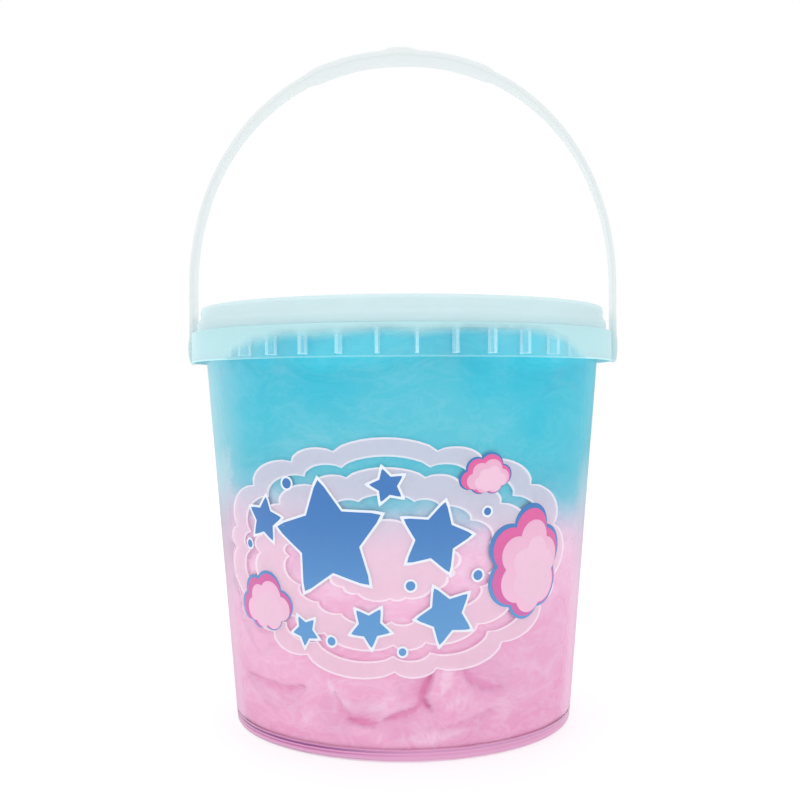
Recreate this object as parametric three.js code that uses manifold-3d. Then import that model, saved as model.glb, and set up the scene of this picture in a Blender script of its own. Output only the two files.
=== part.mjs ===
// A shut clear plastic pail of cotton candy: blue floss packed over pink floss, a press-on lid, a ribbed
// collar that guards the lid's edge, and a bail handle that turns in two holes of the collar.
// Millimetres, +Z up. The origin is the centre of the foot, the handle's hinge axis is parallel to X.
import * as THREE from "three";
import { mergeVertices } from "three/addons/utils/BufferGeometryUtils.js";
import Module from "manifold-3d";

const wasm = await Module();
wasm.setup();

// Driving dimensions.
const GAP = 0.35; // between pieces that touch
const ROUND_STEPS = 76; // facets round the pail: two for each rib
const ARC_STEPS = 3; // facets of a rounded corner
const CHAMFERED = 1.0; // corners softer than this get the arc, the smaller ones one facet
const BURY = 0.4; // how far a plate or a pin reaches into what it joins

const WALL = 1.2;
const WALL_FOOT_R = 69.3; // outer radius of the cone at the floor's plane
const WALL_TAPER = 0.0805; // gain in radius for each millimetre of height
const FOOT_H = 3.0; // how far the base panel is off the ground
const FOOT_WALL = 2.6; // width of the ring that the pail stands on
const FOOT_SLOPE = 0.8; // draft of the ring's inner side
const FOOT_SOFT = 1.3;
const FLOOR_T = 1.2;
const FLOOR_FILLET = 3.5;
const RIM_TOP = 166.4;
const RIM_SOFT = 0.4;

const COLLAR_R = 87.1;
const COLLAR_T = 1.1;
const COLLAR_LOW = 146.3;
const COLLAR_TOP = 158.4;
const COLLAR_SOFT = 0.7;
const FLANGE_T = 1.6;

const RIB_COUNT = 38;
const RIB_PHASE = 6.0; // degrees from the front
const RIB_T = 0.9;
const RIB_LOW = COLLAR_LOW + 1.3;
const EAR_HALF_ANGLE = 17.0; // degrees either side of the hinge axis, walled off and free of ribs
const EAR_MARGIN = 1.0; // degrees that a rib keeps from an ear's wall
const EAR_T = 1.3;

const LID_LOW = 159.0;
const LID_TOP = 168.4;
const LID_T = 1.15;
const LID_R = 83.6;
const LID_LIP_R = 84.9;
const LIP_STEP = { low: 161.8, high: 163.9 }; // where the lip is drawn in to the lid's radius
const LID_PANEL = 161.2; // top of the sunk panel
const RECESS = { slope: 0.4, fillet: 1.2 };
const LID_SOFT = { crown: 1.7, recess: 0.9 };
const STACK_RING = { r: 64.0, high: 0.9, top: 1.2, foot: 2.4 }; // centres the foot of a pail stacked on top

const PIVOT_Z = 152.9;
const PIN_R = 2.6;
const PIN_HEAD_R = 3.4;
const PIN_HEAD_T = 1.6;
const HOLE_R = PIN_R + 0.4;
const TAB_R = 6.8;
const TAB_IN = COLLAR_R + GAP;
const TAB_OUT = 89.5;
const PIN_SIDES = 24;
const TAB_SIDES = 32;

const BAIL_SPRING_Z = 177; // straight strands below, an arch above
const BAIL_X = 88.45; // middle of a strand
const BAIL_TOP = 274.8; // middle of the band at its crown
const BAIL_FULLNESS = 2.1; // exponent of the arch: 2 is half an ellipse, more is fuller at the shoulders
const STRAND_SHARE = 0.1; // share of the curve's parameter that each straight strand takes

// The band's sizes. Each changes to the next one's between two distances: from the crown, and for the eye,
// which backs the tab, from the band's end.
const STRAND = { wide: 10.4, thick: 1.9 };
const NECK = { wide: 13.2, thick: 2.0, from: 38.5, to: 98.5 };
const GRIP = { wide: 17, thick: 2.7, from: 36, to: 41 };
const PAD = { wide: 19.4, thick: 3.5, lift: 0.5, from: 2.3, to: 8.8 };
const EYE = { wide: 10.9, thick: STRAND.thick, from: 4, to: 16 };
const BAND_CORNER = 0.32; // share of the thickness that the band's corners are cut over
const PITCH = { pad: 1.8, grip: 6, shoulder: 1.25, strand: 8, eye: 4 }; // between sections of the band

const FLOSS_LOW = FOOT_H + FLOOR_T + GAP;
const FLOSS_TOP = LID_PANEL - LID_T - GAP;
const FLOSS_STEPS = 56;
const FLOSS_EDGE = { draw: 2.2, power: 8 }; // how far a mass draws in at its two edges, and how suddenly
const CAP_SHARES = [0.34, 0.68]; // rings of a mass's top and bottom
const SEAM = { mean: 95.5, wave: 4 }; // height at which pink gives way to blue
const CROWN = { dip: 1.5, ripple: 600 }; // how deep the blue mass's top dips, and how fast that changes
const FOLD_DEPTH = 2.6; // how deep a crease of the floss runs in from the wall
const FOLD = { width: 0.12, least: 0.45, reseed: 5 }; // a crease's width on the wander, its least depth
const WANDER = [
  { share: 0.5, lobes: 3, climb: 0.055, shift: 1.7 },
  { share: 0.3, lobes: 7, climb: -0.11, shift: 2.9 },
  { share: 0.2, lobes: 5, climb: 0.23, shift: 4.1 },
];
const PINK = { seed: 1, rows: 15 };
const BLUE = { seed: 2, rows: 11 };
const SEAM_SEED = 3;

const wallRadius = (z) => WALL_FOOT_R + WALL_TAPER * z;

// ---- Solids ---------------------------------------------------------------------------------------------

function toSolid(geometry) {
  const bare = geometry.clone();
  bare.deleteAttribute("normal");
  bare.deleteAttribute("uv");
  const merged = mergeVertices(bare, 1e-3);
  return new wasm.Manifold(
    new wasm.Mesh({
      numProp: 3,
      vertProperties: merged.attributes.position.array,
      triVerts: new Uint32Array(merged.index.array),
    }),
  );
}

function toGeometry(solid) {
  const mesh = solid.getMesh();
  const geometry = new THREE.BufferGeometry();
  geometry.setAttribute("position", new THREE.BufferAttribute(mesh.vertProperties, 3));
  geometry.setIndex(new THREE.BufferAttribute(mesh.triVerts, 1));
  geometry.computeVertexNormals();
  return geometry;
}

const joined = (solids) => solids.reduce((all, one) => all.add(one));

// An outline through corners [r, z, soft]: a soft corner is rounded off over that distance to either side.
function outline(corners) {
  const last = corners.length - 1;
  const point = ([r, z]) => new THREE.Vector2(r, z);
  return corners.flatMap((corner, i) => {
    const here = point(corner);
    const soft = corner[2];
    if (!soft || i === 0 || i === last) return [here];
    const from = point(corners[i - 1]).sub(here).setLength(soft).add(here);
    const to = point(corners[i + 1]).sub(here).setLength(soft).add(here);
    return new THREE.QuadraticBezierCurve(from, here, to).getPoints(soft < CHAMFERED ? 1 : ARC_STEPS);
  });
}

// The outline, which runs from the axis round the outside and back to the axis, turned about Z.
function turned(corners, steps = ROUND_STEPS) {
  return new THREE.LatheGeometry(outline(corners), steps).rotateX(Math.PI / 2);
}

// A cylinder along X from x0 to x1.
function rod(radius, x0, x1, z, sides = PIN_SIDES) {
  return new THREE.CylinderGeometry(radius, radius, Math.abs(x1 - x0), sides)
    .rotateZ(Math.PI / 2)
    .translate((x0 + x1) / 2, 0, z);
}

// A radial plate between two radii, at an angle from the front (-Y), turning towards +X.
function radialPlate(degrees, thick, rIn, rOut, low, high) {
  return new THREE.BoxGeometry(thick, rOut - rIn, high - low)
    .translate(0, -(rIn + rOut) / 2, (low + high) / 2)
    .rotateZ(THREE.MathUtils.degToRad(degrees));
}

// ---- Tub: tapered wall, base on a foot ring, flange, collar with ribs, pivot holes ----------------------

function makeTub() {
  const flangeLow = COLLAR_TOP - FLANGE_T;
  const rimOut = wallRadius(flangeLow);
  const rimIn = rimOut - WALL;
  const collarIn = COLLAR_R - COLLAR_T;
  const floorTop = FOOT_H + FLOOR_T;
  const body = toSolid(
    turned([
      [0, FOOT_H],
      [WALL_FOOT_R - FOOT_WALL - FOOT_SLOPE, FOOT_H, FOOT_SLOPE],
      [WALL_FOOT_R - FOOT_WALL, 0],
      [WALL_FOOT_R, 0, FOOT_SOFT],
      [rimOut, flangeLow],
      [collarIn, flangeLow],
      [collarIn, COLLAR_LOW],
      [COLLAR_R, COLLAR_LOW],
      [COLLAR_R, COLLAR_TOP, COLLAR_SOFT],
      [rimOut, COLLAR_TOP],
      [rimOut, RIM_TOP, RIM_SOFT],
      [rimIn, RIM_TOP, RIM_SOFT],
      [rimIn, COLLAR_TOP],
      [wallRadius(floorTop) - WALL, floorTop, FLOOR_FILLET],
      [0, floorTop],
    ]),
  );
  const plates = [];
  const span = (degrees, thick, low) =>
    toSolid(
      radialPlate(degrees, thick, wallRadius(COLLAR_LOW) - BURY, COLLAR_R - BURY, low, flangeLow + BURY),
    );
  for (let i = 0; i < RIB_COUNT; i++) {
    const degrees = RIB_PHASE + (360 / RIB_COUNT) * i;
    const fromHinge = Math.abs((degrees % 180) - 90);
    if (fromHinge > EAR_HALF_ANGLE + EAR_MARGIN) plates.push(span(degrees, RIB_T, RIB_LOW));
  }
  for (const side of [90, 270])
    for (const turn of [-EAR_HALF_ANGLE, EAR_HALF_ANGLE]) plates.push(span(side + turn, EAR_T, COLLAR_LOW));
  const holes = [-1, 1].map((side) =>
    toSolid(rod(HOLE_R, side * (collarIn - COLLAR_T), side * (COLLAR_R + COLLAR_T), PIVOT_Z)),
  );
  return toGeometry(joined([body, ...plates]).subtract(joined(holes)));
}

// ---- Lid: sunk panel with a stacking ring, channel that grips the rim, two-step outer lip ---------------

function makeLid() {
  const plugR = wallRadius(COLLAR_TOP - FLANGE_T) - WALL - 2 * GAP; // the leg inside the rim
  const channelTop = LID_TOP - LID_T;
  const ring = [
    [STACK_RING.foot, 0],
    [STACK_RING.top, STACK_RING.high],
    [-STACK_RING.top, STACK_RING.high],
    [-STACK_RING.foot, 0],
  ].map(([across, up]) => [STACK_RING.r + across / 2, LID_PANEL + up]);
  return toGeometry(
    toSolid(
      turned([
        [0, LID_PANEL - LID_T],
        [plugR, LID_PANEL - LID_T, LID_SOFT.recess],
        [plugR, channelTop],
        [LID_R - LID_T, channelTop],
        [LID_R - LID_T, LIP_STEP.high],
        [LID_LIP_R - LID_T, LIP_STEP.low],
        [LID_LIP_R - LID_T, LID_LOW],
        [LID_LIP_R, LID_LOW],
        [LID_LIP_R, LIP_STEP.low],
        [LID_R, LIP_STEP.high],
        [LID_R, LID_TOP, LID_SOFT.crown],
        [plugR - LID_T, LID_TOP, LID_SOFT.recess],
        [plugR - LID_T - RECESS.slope, LID_PANEL, RECESS.fillet],
        ...ring,
        [0, LID_PANEL],
      ]),
    ),
  );
}

// ---- Handle: a band of changing width and thickness, round tabs and pins ---------------------------

const ease = THREE.MathUtils.smoothstep;
const mix = THREE.MathUtils.lerp;

// The middle line of the band, from tab to tab: a straight strand, the arch and a straight strand.
class BailLine extends THREE.Curve {
  getPoint(t) {
    const rise = BAIL_TOP - BAIL_SPRING_Z;
    const leg = BAIL_SPRING_Z - PIVOT_Z;
    const fromEnd = Math.min(t, 1 - t);
    const side = t < 0.5 ? -1 : 1;
    if (fromEnd < STRAND_SHARE) {
      return new THREE.Vector3(side * BAIL_X, 0, PIVOT_Z + (leg * fromEnd) / STRAND_SHARE);
    }
    const turn = ((Math.PI / 2) * (fromEnd - STRAND_SHARE)) / (0.5 - STRAND_SHARE);
    const power = 2 / BAIL_FULLNESS;
    const out = Math.pow(Math.max(Math.cos(turn), 0), power);
    return new THREE.Vector3(side * BAIL_X * out, 0, BAIL_SPRING_Z + rise * Math.pow(Math.sin(turn), power));
  }
}

// Width, thickness and outward lift of the band at its distances from the crown and from its nearer end.
function bandSize(fromCrown, fromEnd) {
  const neck = 1 - ease(fromCrown, NECK.from, NECK.to);
  const grip = 1 - ease(fromCrown, GRIP.from, GRIP.to);
  const pad = 1 - ease(fromCrown, PAD.from, PAD.to);
  const eye = 1 - ease(fromEnd, EYE.from, EYE.to);
  const size = (key) => {
    const strand = mix(mix(STRAND[key], NECK[key], neck), EYE[key], eye);
    return mix(mix(strand, GRIP[key], grip), PAD[key], pad);
  };
  return { wide: size("wide"), thick: size("thick"), lift: PAD.lift * pad };
}

// Distances along the band: close together where its size changes, wide apart on the plain strands.
function stationsAlong(length) {
  const half = length / 2;
  const run = (from, to, pitch) => {
    const count = Math.ceil((to - from) / pitch);
    return Array.from({ length: count }, (_, i) => mix(from, to, i / count));
  };
  const fromCrown = [
    ...run(0, PAD.to, PITCH.pad),
    ...run(PAD.to, GRIP.from, PITCH.grip),
    ...run(GRIP.from, GRIP.to, PITCH.shoulder),
    ...run(GRIP.to, half - EYE.to, PITCH.strand),
    ...run(half - EYE.to, half, PITCH.eye),
    half,
  ];
  return [...fromCrown.slice(1).reverse().map((s) => half - s), ...fromCrown.map((s) => half + s)];
}

// The band's section: a flat oblong with cut corners, as points [across, outward].
function bandSection(wide, thick) {
  const cut = BAND_CORNER * thick;
  const y = wide / 2;
  const n = thick / 2;
  return [
    [-y, cut - n],
    [cut - y, -n],
    [y - cut, -n],
    [y, cut - n],
    [y, n - cut],
    [y - cut, n],
    [cut - y, n],
    [-y, n - cut],
  ];
}

function makeBand() {
  const line = new BailLine();
  const length = line.getLength();
  const rings = stationsAlong(length).map((at) => {
    const middle = line.getPointAt(at / length);
    const along = line.getTangentAt(at / length);
    const { wide, thick, lift } = bandSize(Math.abs(at - length / 2), Math.min(at, length - at));
    return bandSection(wide, thick).map(
      ([y, n]) =>
        new THREE.Vector3(middle.x - (n + lift) * along.z, y, middle.z + (n + lift) * along.x),
    );
  });
  return loft(rings);
}

// A closed skin over a row of rings with equal numbers of points, capped at both ends.
function loft(rings) {
  const sides = rings[0].length;
  const geometry = new THREE.BufferGeometry().setFromPoints(rings.flat());
  const index = [];
  for (let i = 0; i + 1 < rings.length; i++)
    for (let j = 0; j < sides; j++) {
      const a = i * sides + j;
      const b = i * sides + ((j + 1) % sides);
      index.push(a, b, a + sides, b, b + sides, a + sides);
    }
  const lastRing = (rings.length - 1) * sides;
  for (let j = 1; j + 1 < sides; j++) {
    index.push(0, j + 1, j);
    index.push(lastRing, lastRing + j, lastRing + j + 1);
  }
  geometry.setIndex(index);
  return geometry;
}

function makeHandle() {
  const collarIn = COLLAR_R - COLLAR_T;
  const headOut = collarIn - GAP;
  const ends = [-1, 1].flatMap((side) => [
    toSolid(rod(TAB_R, side * TAB_IN, side * TAB_OUT, PIVOT_Z, TAB_SIDES)),
    toSolid(rod(PIN_R, side * (headOut - BURY), side * (TAB_IN + BURY), PIVOT_Z)),
    toSolid(rod(PIN_HEAD_R, side * (headOut - PIN_HEAD_T), side * headOut, PIVOT_Z)),
  ]);
  return toGeometry(joined([toSolid(makeBand()), ...ends]));
}

// ---- Floss: two packed masses whose folds press against the wall ----------------------------------------

// A smooth wandering value between -1 and 1 that repeats round the pail.
function drift(turn, height, seed) {
  const wave = (one) => one.share * Math.sin(one.lobes * turn + one.climb * height + one.shift * seed);
  return WANDER.reduce((sum, one) => sum + wave(one), 0);
}

// Creases: narrow valleys where the wandering value crosses zero, deeper in some places than in others.
function crease(turn, height, seed) {
  const valley = Math.exp(-Math.pow(drift(turn, height, seed) / FOLD.width, 2));
  return valley * mix(FOLD.least, 1, Math.abs(drift(turn, height, seed + FOLD.reseed)));
}

const seamHeight = (share, turn) => SEAM.mean + SEAM.wave * share * drift(turn, 0, SEAM_SEED);

function crownHeight(share, turn) {
  return FLOSS_TOP - CROWN.dip * share * Math.abs(drift(turn, CROWN.ripple * share, BLUE.seed));
}

// A mass between two surfaces, given as heights at a share of the radius and a turn, out to the wall and
// creased at its side.
function plug(low, high, { seed, rows }) {
  const side = (turn, share) => {
    const z = mix(low(1, turn), high(1, turn), share);
    const edge = Math.pow(Math.abs(2 * share - 1), FLOSS_EDGE.power);
    const inset = FOLD_DEPTH * crease(turn, z, seed) + FLOSS_EDGE.draw * edge;
    return [wallRadius(z) - WALL - GAP - inset, z];
  };
  const cap = (surface, shares) =>
    shares.map((share) => (turn) => [share * WALL_FOOT_R, surface(share, turn)]);
  const rings = [
    ...cap(low, CAP_SHARES),
    ...Array.from({ length: rows + 1 }, (_, i) => (turn) => side(turn, i / rows)),
    ...cap(high, [...CAP_SHARES].reverse()),
  ];
  const points = [new THREE.Vector3(0, 0, low(0, 0))];
  for (const ring of rings)
    for (let j = 0; j < FLOSS_STEPS; j++) {
      const turn = (2 * Math.PI * j) / FLOSS_STEPS;
      const [r, z] = ring(turn);
      points.push(new THREE.Vector3(r * Math.cos(turn), r * Math.sin(turn), z));
    }
  points.push(new THREE.Vector3(0, 0, high(0, 0)));
  const top = points.length - 1;
  const lastRing = top - FLOSS_STEPS;
  const index = [];
  for (let j = 0; j < FLOSS_STEPS; j++) {
    const next = (j + 1) % FLOSS_STEPS;
    index.push(0, 1 + next, 1 + j);
    index.push(top, lastRing + j, lastRing + next);
    for (let i = 0; i + 1 < rings.length; i++) {
      const a = 1 + i * FLOSS_STEPS + j;
      const b = 1 + i * FLOSS_STEPS + next;
      index.push(a, b, a + FLOSS_STEPS, b, b + FLOSS_STEPS, a + FLOSS_STEPS);
    }
  }
  const geometry = new THREE.BufferGeometry().setFromPoints(points);
  geometry.setIndex(index);
  return toGeometry(toSolid(geometry));
}

const makePinkFloss = () => plug(() => FLOSS_LOW, seamHeight, PINK);
const makeBlueFloss = () => plug((share, turn) => seamHeight(share, turn) + GAP, crownHeight, BLUE);

// ---- The object -----------------------------------------------------------------------------------------

const clearPlastic = new THREE.MeshStandardMaterial({
  color: 0xe9f4f8,
  roughness: 0.12,
  metalness: 0,
  transparent: true,
  opacity: 0.35,
});
const cloudyPlastic = new THREE.MeshStandardMaterial({ color: 0xdcecee, roughness: 0.38, metalness: 0 });
const palePlastic = new THREE.MeshStandardMaterial({ color: 0xe9eff0, roughness: 0.4, metalness: 0 });
const blueSugar = new THREE.MeshStandardMaterial({ color: 0x4cc3e0, roughness: 0.95, metalness: 0 });
const pinkSugar = new THREE.MeshStandardMaterial({ color: 0xefb0d2, roughness: 0.95, metalness: 0 });

function named(name, geometry, material) {
  const mesh = new THREE.Mesh(geometry, material);
  mesh.name = name;
  return mesh;
}

const pail = new THREE.Group();
pail.add(
  named("tub", makeTub(), clearPlastic),
  named("lid", makeLid(), cloudyPlastic),
  named("floss_pink", makePinkFloss(), pinkSugar),
  named("floss_blue", makeBlueFloss(), blueSugar),
);

const bail = new THREE.Group();
bail.add(named("handle", makeHandle(), palePlastic));

const cottonCandyPail = new THREE.Group();
cottonCandyPail.add(pail, bail);

export default cottonCandyPail;
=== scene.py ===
import math

import bmesh
import bpy
from mathutils import Matrix, Vector


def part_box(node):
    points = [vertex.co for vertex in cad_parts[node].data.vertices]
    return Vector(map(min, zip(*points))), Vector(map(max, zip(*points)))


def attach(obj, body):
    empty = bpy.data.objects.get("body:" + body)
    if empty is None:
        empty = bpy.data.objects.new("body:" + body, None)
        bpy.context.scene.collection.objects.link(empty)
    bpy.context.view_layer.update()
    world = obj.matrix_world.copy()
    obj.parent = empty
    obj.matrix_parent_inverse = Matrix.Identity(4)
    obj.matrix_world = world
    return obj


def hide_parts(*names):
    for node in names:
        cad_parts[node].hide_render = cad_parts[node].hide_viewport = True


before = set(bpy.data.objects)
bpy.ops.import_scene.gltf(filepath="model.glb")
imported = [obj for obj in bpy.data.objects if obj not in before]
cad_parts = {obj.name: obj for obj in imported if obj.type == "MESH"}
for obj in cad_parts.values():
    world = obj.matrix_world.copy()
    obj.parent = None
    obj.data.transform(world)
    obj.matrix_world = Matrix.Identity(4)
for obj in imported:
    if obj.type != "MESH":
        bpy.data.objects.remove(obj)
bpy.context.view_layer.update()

MM = 0.001


# ---- Studio: pale floor, white surroundings, soft lamps, camera ------------------------------------------
# A packshot of a pail that stands on a pale sheet. The camera stands about half a metre away, a little
# above the middle of the pail, and turned slightly towards the handle's right-hand end.

scene = bpy.context.scene
scene.view_settings.view_transform = "Standard"
scene.view_settings.look = "None"
scene.cycles.use_denoising = True
scene.cycles.denoising_prefilter = "ACCURATE"
scene.cycles.transparent_max_bounces = 32

CAMERA_DISTANCE = 470.8 * MM
CAMERA_HEIGHT = 133.78 * MM
CAMERA_SIDESTEP = -0.845 * MM
CAMERA_TURN = math.radians(2.5)
CAMERA_DOWN = 0.0065
CAMERA_ROLL = -0.0049
LENS_MM = 50.15
SENSOR_MM = 36.0

camera_data = bpy.data.cameras.new("packshot_camera")
camera_data.lens = LENS_MM
camera_data.sensor_width = SENSOR_MM
camera = bpy.data.objects.new("packshot_camera", camera_data)
camera.matrix_world = (
    Matrix.Rotation(CAMERA_TURN, 4, "Z")
    @ Matrix.Translation((CAMERA_SIDESTEP, -CAMERA_DISTANCE, CAMERA_HEIGHT))
    @ Matrix.Rotation(math.pi / 2 - CAMERA_DOWN, 4, "X")
    @ Matrix.Rotation(CAMERA_ROLL, 4, "Z")
)
scene.collection.objects.link(camera)
scene.camera = camera


def feed(socket, value):
    """Feeds an input from another node's output, or sets it to a number, a place, a colour or a word."""
    if isinstance(value, bpy.types.NodeSocket):
        socket.id_data.links.new(value, socket)
    elif socket.type == "RGBA":
        socket.default_value = (*value, 1.0)
    else:
        socket.default_value = value


def put(tree, kind, inputs=None, **settings):
    """A node with its settings, and with its inputs, by name or number, fed as given."""
    node = tree.nodes.new(kind)
    for key, value in settings.items():
        setattr(node, key, value)
    for key, value in (inputs or {}).items():
        feed(node.inputs[key], value)
    return node


def ranged(tree, value, low, high, to_low=0.0, to_high=1.0, way="SMOOTHSTEP"):
    """From to_low, where the value is low, to to_high, where it is high."""
    inputs = {"Value": value, "From Min": low, "From Max": high, "To Min": to_low, "To Max": to_high}
    return put(tree, "ShaderNodeMapRange", inputs, interpolation_type=way).outputs["Result"]


def mixed(tree, share, first, second):
    """Two shaders mixed, with that share of the second."""
    return put(tree, "ShaderNodeMixShader", {"Fac": share, 1: first, 2: second}).outputs[0]


# White as far as the camera sees it; as light it is brighter on the left, so that the round forms model.
SKY_LEFT, SKY_RIGHT = 1.08, 1.0
WHITE = (1.0, 1.0, 1.0)
world = bpy.data.worlds.new("white_surroundings")
world.use_nodes = True
tree = world.node_tree
seen_sky = tree.nodes["Background"]
feed(seen_sky.inputs["Color"], WHITE)
heading = put(tree, "ShaderNodeTexCoord").outputs["Generated"]
across = put(tree, "ShaderNodeSeparateXYZ", {0: heading}).outputs["X"]
brightness = ranged(tree, across, -1.0, 1.0, SKY_LEFT, SKY_RIGHT, "LINEAR")
sky_light = put(tree, "ShaderNodeBackground", {"Color": WHITE, "Strength": brightness})
seen = put(tree, "ShaderNodeLightPath").outputs["Is Camera Ray"]
surroundings = mixed(tree, seen, sky_light.outputs[0], seen_sky.outputs[0])
feed(tree.nodes["World Output"].inputs["Surface"], surroundings)
scene.world = world

LAMPS = {
    # name: (place, target, width, height, watts)
    "key_softbox": ((-0.75, -0.85, 0.85), (0, 0, 0.12), 0.7, 0.7, 1.5),
    "fill_softbox": ((0.95, -0.65, 0.45), (0, 0, 0.12), 0.5, 0.9, 1.0),
    "top_softbox": ((0.0, 0.15, 1.1), (0, 0, 0.1), 0.8, 0.8, 1.0),
    "edge_softbox": ((-0.62, 0.95, 0.28), (-0.07, 0, 0.13), 0.45, 0.22, 0.2),
}
for name, (place, target, width, height, watts) in LAMPS.items():
    lamp = bpy.data.lights.new(name, "AREA")
    lamp.shape = "RECTANGLE"
    lamp.size = width
    lamp.size_y = height
    lamp.energy = watts
    holder = bpy.data.objects.new(name, lamp)
    holder.visible_camera = False
    aim = (Vector(target) - Vector(place)).to_track_quat("-Z", "Y")
    holder.matrix_world = Matrix.Translation(place) @ aim.to_matrix().to_4x4()
    scene.collection.objects.link(holder)


def new_material(name, **values):
    """A node material, no lamp of its own, its nodes and its Principled shader with some values set."""
    material = bpy.data.materials.new(name)
    material.use_nodes = True
    material.cycles.emission_sampling = "NONE"
    shader = material.node_tree.nodes["Principled BSDF"]
    for title, value in values.items():
        feed(shader.inputs[title.replace("_", " ")], value)
    return material, material.node_tree, shader


def noise(tree, at, scale, detail, roughness=0.5, seed=None, distortion=0.0):
    """Noise at a point, with its seed as a fourth coordinate: its value and its three-way value."""
    inputs = {"Scale": scale, "Detail": detail, "Roughness": roughness, "Distortion": distortion}
    if at is not None:
        inputs["Vector"] = at
    if seed is not None:
        inputs["W"] = seed
    node = put(tree, "ShaderNodeTexNoise", inputs, noise_dimensions="3D" if seed is None else "4D")
    return node.outputs["Fac"], node.outputs["Color"]


def bumped(tree, height, strength, distance):
    """The surface's direction with shallow relief."""
    inputs = {"Height": height, "Strength": strength, "Distance": distance}
    return put(tree, "ShaderNodeBump", inputs).outputs["Normal"]


def mesh_piece(name, vertices, faces, material=None, smooth_angle=32):
    """A mesh object at the origin with its place in its vertices, smooth but for edges over the angle."""
    mesh = bpy.data.meshes.new(name)
    mesh.from_pydata(vertices, [], faces)
    mesh.validate()
    mesh.shade_smooth()
    mesh.set_sharp_from_angle(angle=math.radians(smooth_angle))
    piece = bpy.data.objects.new(name, mesh)
    scene.collection.objects.link(piece)
    if material:
        mesh.materials.append(material)
    return piece


FLOOR_HALF = 3.0
FLOOR_Z = -0.0003
floor_paint, tree, shader = new_material(
    "pale_sheet", Base_Color=(0.42, 0.42, 0.42), Emission_Color=WHITE, Emission_Strength=0.58, Roughness=0.7
)
feed(shader.inputs["Normal"], bumped(tree, noise(tree, None, 900.0, 2.0)[0], 0.05, 0.0002))
corners = [(x * FLOOR_HALF, y * FLOOR_HALF, FLOOR_Z) for x, y in ((-1, -1), (1, -1), (1, 1), (-1, 1))]
floor = mesh_piece("studio_floor", corners, [(0, 1, 2, 3)], floor_paint)


# ---- Tub: the clear wall, its base on a foot ring, and the rim -------------------------------------------
# Injection-moulded clear polypropylene, a tapered wall about a millimetre thick. The base panel sits a
# little up inside the wall, so the pail stands on a narrow ring. The rim goes up inside the lid's channel.

COLLAR_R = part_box("tub")[1].x
RIM_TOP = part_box("tub")[1].z
WALL = 1.2 * MM
WALL_FOOT_R = 69.3 * MM
WALL_TAPER = 0.0805
FOOT_H = 3.0 * MM
FOOT_WALL = 2.6 * MM
FOOT_DRAFT = 0.8 * MM
FLOOR_TOP = FOOT_H + 1.2 * MM
COLLAR_TOP = 158.4 * MM
FLANGE_LOW = COLLAR_TOP - 1.6 * MM
ROUND_STEPS = 240
ARC_STEPS = 6


def wall_radius(z):
    """Outer radius of the tapered wall at a height."""
    return WALL_FOOT_R + WALL_TAPER * z


RIM_OUT = wall_radius(FLANGE_LOW)
RIM_IN = RIM_OUT - WALL


def rounded(corners):
    """Points through corners (r, z, soft): a soft corner is rounded off over that distance either side."""
    points = []
    for i, corner in enumerate(corners):
        here = Vector(corner[:2])
        soft = corner[2] if len(corner) > 2 else 0
        if not soft or i in (0, len(corners) - 1):
            points.append(here)
            continue
        before = here + (Vector(corners[i - 1][:2]) - here).normalized() * soft
        after = here + (Vector(corners[i + 1][:2]) - here).normalized() * soft
        for k in range(ARC_STEPS + 1):
            t = k / ARC_STEPS
            points.append(before * (1 - t) ** 2 + here * 2 * t * (1 - t) + after * t * t)
    return points


def turned(points, steps=ROUND_STEPS, closed=False):
    """Vertices and faces of points (r, z) turned about Z: from axis to axis, or closed on themselves."""
    vertices, rings, faces = [], [], []
    for r, z in points:
        if r < 1e-7:
            rings.append([len(vertices)] * steps)
            vertices.append((0.0, 0.0, z))
            continue
        rings.append(list(range(len(vertices), len(vertices) + steps)))
        for j in range(steps):
            turn = 2 * math.pi * j / steps
            vertices.append((r * math.sin(turn), -r * math.cos(turn), z))
    if closed:
        rings.append(rings[0])
    for low, high in zip(rings, rings[1:]):
        for j in range(steps):
            k = (j + 1) % steps
            unique = list(dict.fromkeys([low[j], low[k], high[k], high[j]]))
            if len(unique) > 2:
                faces.append(unique)
    return vertices, faces


def on_piece(tree):
    """The point of the piece, and the same along its three axes."""
    at = put(tree, "ShaderNodeTexCoord").outputs["Object"]
    return at, put(tree, "ShaderNodeSeparateXYZ", {0: at}).outputs


def calculate(tree, operation, *terms, kind="ShaderNodeMath", clamp=False):
    """One sum on outputs or plain numbers; its result."""
    node = put(tree, kind, operation=operation)
    if clamp:
        node.use_clamp = True
    for socket, term in zip(node.inputs, terms):
        feed(socket, term)
    return node.outputs["Value" if operation == "DISTANCE" else 0]


def blended(tree, share, first, second, way="MIX"):
    """Two colours blended, with that share of the second."""
    inputs = {"Factor": share, "A": first, "B": second}
    return put(tree, "ShaderNodeMix", inputs, data_type="RGBA", blend_type=way).outputs["Result"]


def facing(tree):
    """0 where the surface is seen head on, 1 where it is seen edge on."""
    return put(tree, "ShaderNodeLayerWeight", {"Blend": 0.5}).outputs["Facing"]


def tints_along(tree, value, table, shift=0.0):
    """A colour that follows a value, in metres, through a table of (millimetres, colour)."""
    low, high = table[0][0] * MM, table[-1][0] * MM
    level = ranged(tree, value, low + shift, high + shift, way="LINEAR")
    ramp = put(tree, "ShaderNodeValToRGB", {"Fac": level})
    stops = ramp.color_ramp.elements
    while len(stops) < len(table):
        stops.new(0.5)
    for stop, (at, colour) in zip(stops, table):
        stop.position = (at * MM - low) / (high - low)
        stop.color = (*colour, 1.0)
    return ramp.outputs["Color"]


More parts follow.
